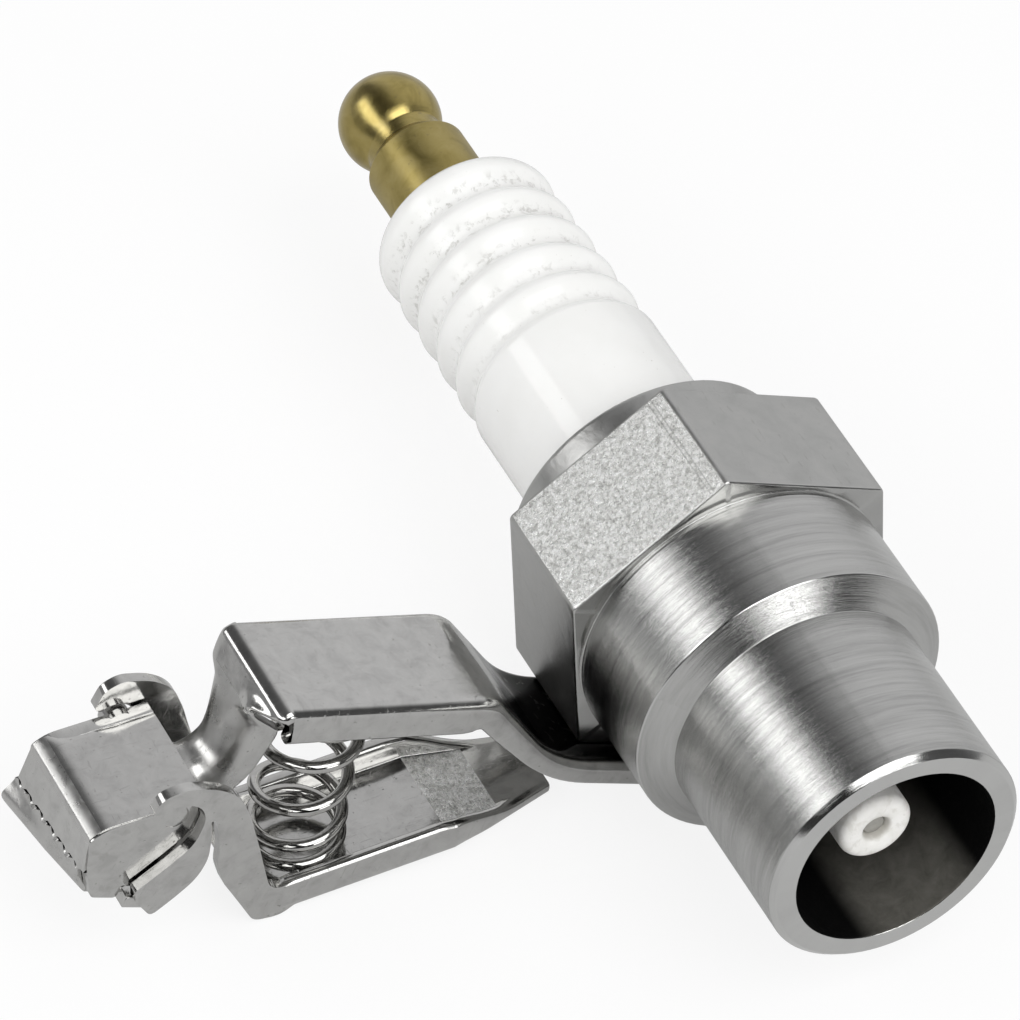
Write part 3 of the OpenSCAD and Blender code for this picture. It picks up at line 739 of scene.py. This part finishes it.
def sheet_loop(half_w, depth, bend_r=FLANGE_BEND):
    """Closed section of bent sheet as (w, n): a plate whose edges turn in to a depth, with worn tips."""
    top = -SHEET / 2
    worn = 0.2
    r = min(bend_r, depth - worn - 0.05)
    inner_r = min(max(0.08, r - SHEET_SEEN), max(0.0, depth - SHEET_SEEN - worn))
    tip = top + depth
    inside = half_w - SHEET_SEEN
    half = [((half_w - r) * k / 8, top) for k in range(9)]
    for k in range(1, 7):
        turn = math.radians(15 * k)
        half.append((half_w - r + r * math.sin(turn), top + r - r * math.cos(turn)))
    half += [(half_w, lerp(top + r, tip - worn, k / 4)) for k in range(1, 5)]
    half += [(half_w - worn * 0.3, tip - worn * 0.3), (half_w - worn, tip), (inside + worn, tip)]
    low = max(tip - worn, UNDERSIDE + inner_r)
    half += [(inside + worn * 0.3, lerp(tip, low, 0.5)), (inside, low)]
    half += [(inside, lerp(low, UNDERSIDE + inner_r, k / 3)) for k in range(1, 4)]
    for k in range(1, 5):
        turn = math.radians(22.5 * k)
        half.append((inside - inner_r * (1 - math.cos(turn)), UNDERSIDE + inner_r * (1 - math.sin(turn))))
    half += [(lerp(inside - inner_r, 0, k / FLOOR_STEPS), UNDERSIDE) for k in range(1, FLOOR_STEPS + 1)]
    return half + [(-w, n) for w, n in reversed(half[1:-1])]


def two_sides(near, far):
    """A section whose near half comes from one loop and whose far half from another."""
    return [n if n[0] >= 0 else f for n, f in zip(near, far)]


def sheet_sweep(name, path, section_at, body, finish_at):
    """Sweeps a changing section along a path; finish_at gives the material, also of the section's floor."""
    sections = [section_at(d) for p, along, d in path]
    count = len(sections[0])
    points = [clip_point(p + left_of(along) * n, w)
              for (p, along, d), section in zip(path, sections) for w, n in section]
    on_floor = [-FLOOR_STEPS <= k - count // 2 < FLOOR_STEPS for k in range(count)]
    indices = [finish_at(d, flag) for p, along, d in path[:-1] for flag in on_floor]
    faces = ring_faces(len(path), count) + end_caps(len(path), count)
    obj = add_mesh(name, points, faces, [NICKEL, STEEL_SPARKLE, NICKEL_WORN], indices + [0, 0], 50)
    even_normals(obj)
    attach(obj, body)
    return obj


def lip_strip(name, path, columns, half_at, outer, inner, shift_at, body, toothed=None, worn=(0, 0)):
    """A bent strip between two offsets of a path; shift_at moves the points of a row, such as the teeth.

    half_at gives its far and near half widths. The end faces of the toothed row are near black, painted
    shade for the gap between the teeth, and the strip is dull between the two worn distances.
    """
    points = []
    for offset in (inner, outer):
        for i, (p, along, d) in enumerate(path):
            far, near = half_at(d)
            for k in range(columns + 1):
                share = k / columns * 2 - 1
                shift = shift_at(i, share, left_of(along))
                w = share * (near if share > 0 else far)
                points.append(clip_point(p + left_of(along) * offset + shift, w))
    rows, count = len(path), columns + 1
    base = rows * count
    faces = ring_faces(rows, count, False)
    faces += [tuple(base + k for k in reversed(face)) for face in faces]
    indices = [1 if worn[0] < d < worn[1] else 0 for p, along, d in path[:-1] for j in range(columns)] * 2
    for i in range(rows - 1):
        for j in (0, count - 1):
            a, b = i * count + j, (i + 1) * count + j
            faces.append((a, b, base + b, base + a))
            indices.append(0)
    # End faces across the strip; those of the toothed row take the painted shade of the gap between the teeth
    for j in range(count - 1):
        for i in (0, rows - 1):
            a, b = i * count + j, i * count + j + 1
            faces.append((a, b, base + b, base + a))
            indices.append(2 if i == toothed else 0)
    obj = add_mesh(name, points, faces, [NICKEL, NICKEL_WORN, TOOTH_GAP_SHADE], indices)
    soften(obj, 0.05)
    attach(obj, body)
    return obj


def outline_plate(name, outline, w_at, cell=0.8):
    """A plate from a closed side-view outline, cut into cells so that it can lean, at w given by place."""
    made = bmesh.new()
    corners = [made.verts.new((p[0], p[1], 0)) for p in outline]
    made.faces.new(corners)
    for axis, normal in enumerate((Vector((1, 0, 0)), Vector((0, 1, 0)))):
        place = min(p[axis] for p in outline) + cell
        while place < max(p[axis] for p in outline):
            bmesh.ops.bisect_plane(made, geom=made.verts[:] + made.edges[:] + made.faces[:],
                                   plane_co=place * normal, plane_no=normal, dist=1e-5)
            place += cell
    made.verts.index_update()
    flat = [Vector((v.co[0], v.co[1])) for v in made.verts]
    points = [clip_point(q, w_at(q)) for q in flat]
    faces = [tuple(v.index for v in f.verts) for f in made.faces]
    made.free()
    return add_mesh(name, points, faces, [NICKEL])


def stub(name, center, r, w_from, w_to, columns=40):
    """A short round lug across the clip with a rounded end."""
    rings = [(0.0, 1.0), (0.7, 1.0), (0.9, 0.97), (0.97, 0.9), (1.0, 0.78), (1.0, 0.3)]
    points = [clip_point(center + r * size * polar(2 * math.pi * k / columns), lerp(w_from, w_to, share))
              for share, size in rings for k in range(columns)]
    faces = ring_faces(len(rings), columns) + end_caps(len(rings), columns)
    return add_mesh(name, points, faces, [NICKEL])


def tooth_wave(w):
    """Height of the teeth, from 0 to 1, at a place across the jaw."""
    return abs((w / LIP_HALF + 1) / 2 * TOOTH_COUNT % 1.0 - 0.5) * 2


# Upper half of the clip

def build_upper_handle():
    """Strap, handle with flanges and neck with curled flanges, as one bent sheet."""
    rear_bend, nose = UPPER_REAR + Vector((-1.0, 0.65)), UPPER_FRONT + Vector((-0.1, 0.85))
    brow = nose + 0.4 * heading(UPPER_TILT)
    front_bend = brow - 0.5 * heading(UPPER_TILT + 40)
    neck_bulge = nose + Vector((-0.3, -2.4))
    foot = Vector((nose[0] - 0.75, PIVOT[1] + 1.35))
    path = bent_path([STRAP_END, STRAP_BEND, rear_bend, brow, front_bend, neck_bulge, foot,
                      foot - 3.6 * heading(JAW_TILT)], [0, 9.0, 2.6, 0.5, 0.15, 2.0, 2.4, 0])
    strap, rear = at_corner(path, STRAP_BEND), at_corner(path, rear_bend)
    front, foot_at = at_corner(path, front_bend), at_corner(path, foot)
    flange_stop, neck_from, curl_from = front - 0.55, front - 0.15, front + 1.3
    path = with_rows(path, [flange_stop, flange_stop + 0.15] + [front + 0.1 * k for k in range(-2, 24)])

    def section(d):
        if d <= flange_stop:
            depth = lerp(1.5, 2.0, smooth((d - strap) / (rear - strap)))
            return sheet_loop(HALF_W, lerp(depth, FLANGE_DEPTH, smooth((d - rear + 0.6) / 2.5)))
        if d <= neck_from:
            return sheet_loop(HALF_W, SHEET_SEEN, 0.55)
        near_half = lerp(HALF_W, NECK_HALF, smooth((d - neck_from) / 1.4))
        far_half = lerp(HALF_W, NECK_HALF, smooth((d - neck_from) / 5.5))
        swell = 0.55 * smooth((d - front) / 1.3) * (1 - smooth((d - curl_from) / 1.5))
        curl = smooth((d - curl_from) / 0.9)
        depth = lerp(SHEET_SEEN, 2.9, curl * (1 - 0.8 * smooth((d - foot_at - 0.2) / 2.0)))
        bend = lerp(0.55, 1.7, curl)
        near = [(w, n - swell * smooth((w - 0.2) / 2.2)) for w, n in sheet_loop(near_half, depth, bend)]
        return two_sides(near, sheet_loop(far_half, depth, bend))

    handle = sheet_sweep("clip_handle", path, section, "plug", lambda d, on_floor: 2 if d > curl_from else 0)
    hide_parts("clip_upper")


def build_upper_jaw():
    """A plate that curves gently, then turns down at a crease into the toothed lip, between two cheeks."""
    out_plate = -SHEET / 2 * left_of(-heading(JAW_TILT))
    plate_end = PLATE_REAR + out_plate + Vector((0.5, 0))
    path = bent_path([plate_end, CREASE + 0.95 * heading(55.5), CREASE, LIP_END - Vector((0.5, 0))],
                     [0, 2.5, 0.5, 0], 0.25)
    last = len(path) - 1
    crease_at = at_corner(path, CREASE)
    lip_len = path[last][2] - crease_at
    rolled_w = 1.3

    def shift_at(i, share, inward):
        past_crease = path[i][2] - crease_at
        shift = Vector((max(0.0, past_crease) / lip_len * lerp(0.5, 1.1, (share + 1) / 2), 0))
        if i == last:
            shift += Vector((0, TOOTH_DEPTH * tooth_wave(share * LIP_HALF)))
        lap = (rolled_w - HALF_W - share * HALF_W) / rolled_w
        if lap > 0:
            rolled = 1.0 - smooth((past_crease + 3.0) / 2.6)
            shift += inward * rolled * 0.55 * lap * lap
        return shift

    lip_strip("clip_jaw_plate", path, 8 * TOOTH_COUNT, lambda d: (LIP_HALF, LIP_HALF), 0.0, SHEET_SEEN,
              shift_at, "plug", last, (crease_at - 1.0, crease_at + 0.35))

    # Cheeks, cut away at the front where the lower lip swings past, each with the lug that a hook turns on
    front_edge = [p for p, along, d in path if d < crease_at + 0.2]
    lip_x, lip_y = LIP_END[0] + SHEET / 2, LIP_END[1]
    fronts = {"near": [((lip_x + 0.05, lip_y + 0.65), 2.0), ((lip_x + 1.35, CHEEK_FOOT - 0.1), 0.5)],
              "far": [((lip_x - 0.1, lip_y + 0.65), 0.2), ((lip_x + 0.85, lip_y + 0.6), 0.3),
                      ((lip_x + 2.3, CHEEK_FOOT), 0.4)]}
    cheek_back = [((PIVOT[0] - 1.2, CHEEK_FOOT - 0.1), 0.3), ((PIVOT[0] - 1.1, CHEEK_FOOT + 0.85), 0.3),
                  ((PIVOT[0] + 0.5, CHEEK_FOOT + 0.85), 0.6), ((PIVOT[0] + 1.7, PIVOT[1] - 1.2), 0.6)]
    for side, tag in SIDES:
        cheek = [(p + Vector((0.06, -0.06)), 0.0) for p in front_edge[::2]] + fronts[tag] + cheek_back
        plate = outline_plate("clip_jaw_cheek_" + tag, rounded([p for p, r in cheek], [r for p, r in cheek]),
                              lambda q, side=side: side * CHEEK_W)
        soften(plate, 0.12, CHEEK_T)
        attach(plate, "plug")
        lug = stub("clip_lug_" + tag, PIVOT, LUG_R, side * LUG_START, LUG_ENDS[tag])
        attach(lug, "plug")


# Lower half of the clip

def build_lower_jaw():
    lip_top = LIP_END + Vector((0, TOOTH_DEPTH - TOOTH_GAP))
    path = bent_path([lip_top, LOWER_JAW_FRONT, LOWER_JAW_REAR], [0, 0.9, 0], 0.2)
    turn_at = at_corner(path, LOWER_JAW_FRONT)

    def half_at(d):
        return lerp(HALF_W + 0.2, FLOOR_HALF, smooth((d - turn_at + 0.2) / 0.8)), FLOOR_HALF + 0.1

    def shift_at(i, share, inward):
        d = path[i][2]
        far, near = half_at(d)
        bite = -TOOTH_DEPTH * (1 - tooth_wave(share * (near if share > 0 else far))) if i == 0 else 0.0
        across = (share + 1) / 2
        lean = lerp(lerp(0.5, 1.1, across), lerp(-0.6, 1.1, across), smooth(d / turn_at))
        return Vector((lean * (1 - smooth((d - turn_at) / 1.5)), bite))

    floor = lip_strip("clip_lower_jaw", path, 16 * TOOTH_COUNT, half_at, -SHEET / 2, UNDERSIDE, shift_at,
                      "lower_lever", 0, (-1.0, turn_at + 1.0))
    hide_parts("clip_lower")


def build_ears():
    """Each ear has a hook over the lug, a limb down to the jaw and a leg down to the handle."""
    along = heading(LOWER_TILT)
    inward = left_of(along)
    leg_dir = (LOWER_FRONT - LEG_TOP).normalized()
    leg_len = (LOWER_FRONT - LEG_TOP).length
    # Corners of the outline from the pivot, each with its rounding
    handle_front = LOWER_FRONT - PIVOT
    toe_top = handle_front + 2.6 * along + 1.9 * inward
    toe_low = handle_front + 3.6 * along + 0.2 * inward
    sole = handle_front + 0.9 * along - 0.45 * inward
    hook = {"near": [((-1.75, 0.8), 0.2), ((-2.4, 0.85), 0.25), ((-2.3, 2.0), 6), ((-1.0, 2.85), 6)],
            "far": [((-1.2, 0.35), 0.2), ((-1.7, 0.5), 0.3), ((-1.65, 1.9), 1.0), ((-0.8, 2.75), 6)]}
    leg = [((1.2, 2.95), 6), ((3.0, 2.4), 6), ((4.4, 0.9), 6), ((7.76, -3.43), 6), ((9.56, -5.73), 1.3),
           (toe_top, 0.2), (toe_low, 0.2), (sole, 2.5), ((9.5, -8.15), 1.0), ((5.46, -4.75), 4),
           ((4.2, -3.3), 4), ((3.45, -1.6), 4), ((2.7, -0.2), 3)]
    slit = [((2.1, 0.55), 0.15), ((1.9, 0.35), 0.15)]
    limb = [((2.45, -0.7), 3), ((3.1, -2.5), 4), ((3.08, -4.2), 4), ((2.3, -5.75), 4), ((1.4, -7.25), 0.45),
            ((-0.4, -5.95), 0.3), ((-0.8, -5.15), 0.3), ((0.5, -3.2), 6), ((1.6, -1.4), 6)]
    throat = {"near": [((1.45, 0.6), 6), ((0.7, 1.5), 6), ((-0.4, 1.7), 6), ((-1.5, 1.3), 6)],
              "far": [((1.3, 0.3), 6), ((0.75, 0.9), 6), ((-0.2, 1.15), 6), ((-0.95, 0.75), 6)]}
    jaw_w, handle_w = EAR_IN + EAR_T / 2, HALF_W - EAR_T / 2 + 0.02
    for side, tag in SIDES:

        def w_at(q, side=side):
            lean = (q - LEG_TOP).dot(leg_dir)
            place = lerp(jaw_w, handle_w, smooth((lean - 1.2) / (leg_len - 2.2)))
            sink = smooth(((q - LOWER_FRONT).dot(along) - 0.8) / 1.6)
            return side * (place - 0.2 * sink)

        shape = hook[tag] + leg + slit + limb + throat[tag]
        outline = [PIVOT + p for p in rounded([p for p, r in shape], [r for p, r in shape], 8)]
        ear = outline_plate("clip_ear_" + tag, outline, w_at, 0.6)
        soften(ear, 0.3, EAR_T, 4)
        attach(ear, "lower_lever")
    # Floor that joins the two ears behind the jaw
    floor_left, floor_right = (PIVOT[0] - 0.7, LOWER_JAW_REAR[1]), (PIVOT[0] + 1.2, LOWER_JAW_REAR[1])
    lip_strip("clip_lower_bridge", bent_path([floor_left, floor_right], [0, 0], 0.5), 16,
              lambda d: (EAR_IN + 0.2, EAR_IN + 0.2), -SHEET / 2, UNDERSIDE,
              lambda i, share, up: Vector((0, 0)), "lower_lever")


def build_lower_handle():
    """Handle with its flanges up, and the tapering tail, which glitters where it begins."""
    turned_edge = LOWER_FRONT - LEG_W * (LOWER_FRONT - LEG_TOP).normalized()
    path = bent_path([turned_edge, LOWER_FRONT, LOWER_REAR, TAIL_END], [0, 1.2, 1.2, 0])
    front, rear = at_corner(path, LOWER_FRONT), at_corner(path, LOWER_REAR)
    total = path[-1][2]
    path = with_rows(path, [front + 0.2, front + 0.4])

    def section(d):
        if d <= front + 0.2:
            return sheet_loop(HALF_W - EAR_T, SHEET_SEEN, 0.3)
        taper = max(0.0, (d - rear) / (total - rear))
        depth = lerp(FLANGE_DEPTH, SHEET_SEEN, smooth((d - rear + 1.2) / 6.2))
        bend = lerp(FLANGE_BEND, 0.4, smooth((d - rear) / 3.0))
        return two_sides(sheet_loop(lerp(HALF_W, TAIL_HALF, taper), depth, bend),
                         sheet_loop(lerp(HALF_W, FAR_TAIL_HALF, taper), depth, bend))

    sheet_sweep("clip_lower_handle", path, section, "lower_lever",
                lambda d, on_floor: 1 if on_floor and rear - 0.1 < d < rear + 3.4 else 0)


# Spring

WIRE_R, COIL_R, COIL_TURNS, COIL_SEAT = 0.4, 2.7, 5, 3.9
COIL_STEPS, WIRE_SIDES = 48 * COIL_TURNS, 14


def build_spring():
    """A coil whose axis is an arc about the point where the lines of the two handles meet."""
    upper, lower = heading(UPPER_TILT), heading(LOWER_TILT)
    apart = LOWER_FRONT - UPPER_FRONT
    meet = UPPER_FRONT + upper * apart.dot(left_of(lower)) / upper.dot(left_of(lower))
    arc_r = (LOWER_FRONT + COIL_SEAT * lower - meet).length
    gap = math.degrees(math.asin((SHEET / 2 + WIRE_R + 0.05) / (arc_r - COIL_R)))

    def coil_point(share, r):
        rise = share - 0.5 * math.sin(2 * math.pi * share) / (2 * math.pi)
        slope = LOWER_TILT - gap - (LOWER_TILT - UPPER_TILT - 2 * gap) * rise
        turn = 2 * math.pi * COIL_TURNS * share
        return clip_point(meet - heading(slope) * (arc_r + r * math.cos(turn)), r * math.sin(turn))

    points = []
    for i in range(COIL_STEPS + 1):
        share = i / COIL_STEPS
        center = coil_point(share, COIL_R)
        ahead = coil_point(min(1.0, share + 0.001), COIL_R) - coil_point(max(0.0, share - 0.001), COIL_R)
        ahead.normalize()
        outward = coil_point(share, COIL_R + 1) - center
        outward = (outward - ahead * outward.dot(ahead)).normalized()
        side = ahead.cross(outward)
        for k in range(WIRE_SIDES):
            rim = WIRE_R * MM * polar(2 * math.pi * k / WIRE_SIDES)
            points.append(center + outward * rim[0] + side * rim[1])
    faces = ring_faces(COIL_STEPS + 1, WIRE_SIDES) + end_caps(COIL_STEPS + 1, WIRE_SIDES)
    obj = add_mesh("clip_spring_wire", points, faces, [SPRING_STEEL], None, 60)
    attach(obj, "plug")
    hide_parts("clip_spring")
    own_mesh(obj)


build_shell()
build_insulator()
build_terminal()
build_upper_handle()
build_upper_jaw()
build_lower_jaw()
build_ears()
build_lower_handle()
build_spring()

# Looks of the hidden nodes, which keep their CAD mesh: material, colour, metal share and roughness
HIDDEN = {
    "terminal_stud": ("stud_steel", (0.5, 0.5, 0.49), 1.0, 0.4),
    "glass_seal": ("glass_plug", (0.08, 0.08, 0.09), 0.0, 0.3),
    "center_electrode": ("electrode_alloy", (0.42, 0.41, 0.38), 0.7, 0.5),
    "seat_washer": ("soft_copper", (0.60, 0.36, 0.24), 1.0, 0.4),
    "lower_packing_ring": ("ring_steel_a", (0.5, 0.5, 0.5), 1.0, 0.4),
    "upper_packing_ring": ("ring_steel_b", (0.5, 0.5, 0.5), 1.0, 0.4),
    "talc_packing": ("pressed_talc", (0.74, 0.72, 0.67), 0.0, 0.8),
}
for node, look in HIDDEN.items():
    mesh = frame["nodes"][node].data
    mesh.materials.clear()
    mesh.materials.append(plain_inner(*look))


# Stage, light and camera

def floor_material():
    """A pale floor that is nearly white to the camera, keeps the shadow and is dimmer in reflections."""
    material = bpy.data.materials.new("floor_white")
    material.use_nodes = True
    tree = material.node_tree
    tree.nodes.clear()
    diffuse = tree.nodes.new("ShaderNodeBsdfDiffuse")
    diffuse.inputs["Color"].default_value = (0.92, 0.92, 0.92, 1)
    glow = tree.nodes.new("ShaderNodeEmission")
    glow.inputs["Color"].default_value = (1, 1, 1, 1)
    path = tree.nodes.new("ShaderNodeLightPath")
    seen = path.outputs["Is Camera Ray"]
    wire(tree, level_node(tree, seen, 0.0, 1.0, 0.42, 1.0), glow.inputs["Strength"])
    mirrored = math_node(tree, "MAXIMUM", path.outputs["Is Glossy Ray"], path.outputs["Is Transmission Ray"])
    share = math_node(tree, "MAXIMUM", math_node(tree, "MULTIPLY", mirrored, 0.5),
                      math_node(tree, "MULTIPLY", seen, 0.85))
    mix_shaders(tree, share, diffuse, glow, "ShaderNodeOutputMaterial")
    return material


def build_floor(half=3.0, drop=0.00002):
    mesh = bpy.data.meshes.new("floor")
    corners = [(-half, -half, 0), (half, -half, 0), (half, half, 0), (-half, half, 0)]
    mesh.from_pydata(corners, [], [(0, 1, 2, 3)])
    mesh.materials.append(floor_material())
    obj = bpy.data.objects.new("floor", mesh)
    obj.location = (0, 0, -drop)
    bpy.context.collection.objects.link(obj)


def area_light(name, place, width, height, watts, long_way, target=(0.0, 0.0, 0.01)):
    """A lamp at a place that shines at the target, with its height along a given direction."""
    lamp = bpy.data.lights.new(name, "AREA")
    lamp.shape = "RECTANGLE"
    lamp.size = width
    lamp.size_y = height
    lamp.energy = watts
    obj = bpy.data.objects.new(name, lamp)
    away = (Vector(place) - Vector(target)).normalized()
    side = Vector(long_way).cross(away).normalized()
    obj.matrix_world = Matrix((side, away.cross(side), away)).transposed().to_4x4()
    obj.location = place
    bpy.context.collection.objects.link(obj)


# Brightness of the room around the y axis, by degrees above the right-hand side, and its share in front
TENT = ((0.0, 0.8), (62, 0.82), (80, 0.6), (95, 0.2), (112, 0.1), (126, 0.18), (160, 0.33), (180, 0.34))
FRONT_SHARE = 0.12


def build_world():
    """A light tent with a dark band for the metal to mirror, and white to the camera."""
    room = bpy.data.worlds.new("studio")
    bpy.context.scene.world = room
    room.use_nodes = True
    tree = room.node_tree
    tree.nodes.clear()
    coords = tree.nodes.new("ShaderNodeTexCoord")
    parts = tree.nodes.new("ShaderNodeSeparateXYZ")
    wire(tree, coords.outputs["Generated"], parts.inputs[0])
    around = math_node(tree, "ARCTAN2", parts.outputs["Z"], parts.outputs["X"])
    stops = [(degrees / 180, (value, value, value * 1.01)) for degrees, value in TENT]
    tone = ramp_node(tree, math_node(tree, "DIVIDE", around, math.pi), stops)
    tent = tree.nodes.new("ShaderNodeBackground")
    wire(tree, tone, tent.inputs["Color"])
    wire(tree, level_node(tree, parts.outputs["Y"], -0.5, 0.1, FRONT_SHARE, 1.0), tent.inputs["Strength"])
    white = tree.nodes.new("ShaderNodeBackground")
    white.inputs["Color"].default_value = (1, 1, 1, 1)
    path = tree.nodes.new("ShaderNodeLightPath")
    mix_shaders(tree, path.outputs["Is Camera Ray"], tent, white, "ShaderNodeOutputWorld")


def build_camera():
    camera = bpy.data.cameras.new("camera")
    camera.sensor_width = 36.0
    camera.lens = 279.67
    camera.clip_start = 0.01
    camera.clip_end = 20
    eye = bpy.data.objects.new("camera", camera)
    right = Vector((0.89456, -0.44073, 0.07432))
    up = Vector((0.26409, 0.65538, 0.70762))
    eye.matrix_world = Matrix((right, up, right.cross(up))).transposed().to_4x4()
    eye.location = (-0.16347, -0.29350, 0.34642)
    bpy.context.collection.objects.link(eye)
    bpy.context.scene.camera = eye


build_floor()
area_light("strip", (-0.55, -0.02, 0.44), 0.28, 1.55, 3.6, (0, 1, 0), (0.0, -0.02, 0.01))
area_light("front_fill", (0.09, -0.54, 0.73), 0.7, 0.7, 5.4, (0, 0, 1))
area_light("front_box", (0.19, -0.65, 0.17), 0.26, 0.16, 0.5, (0, 0, 1))
build_world()
build_camera()
bpy.context.scene.view_settings.view_transform = "Standard"
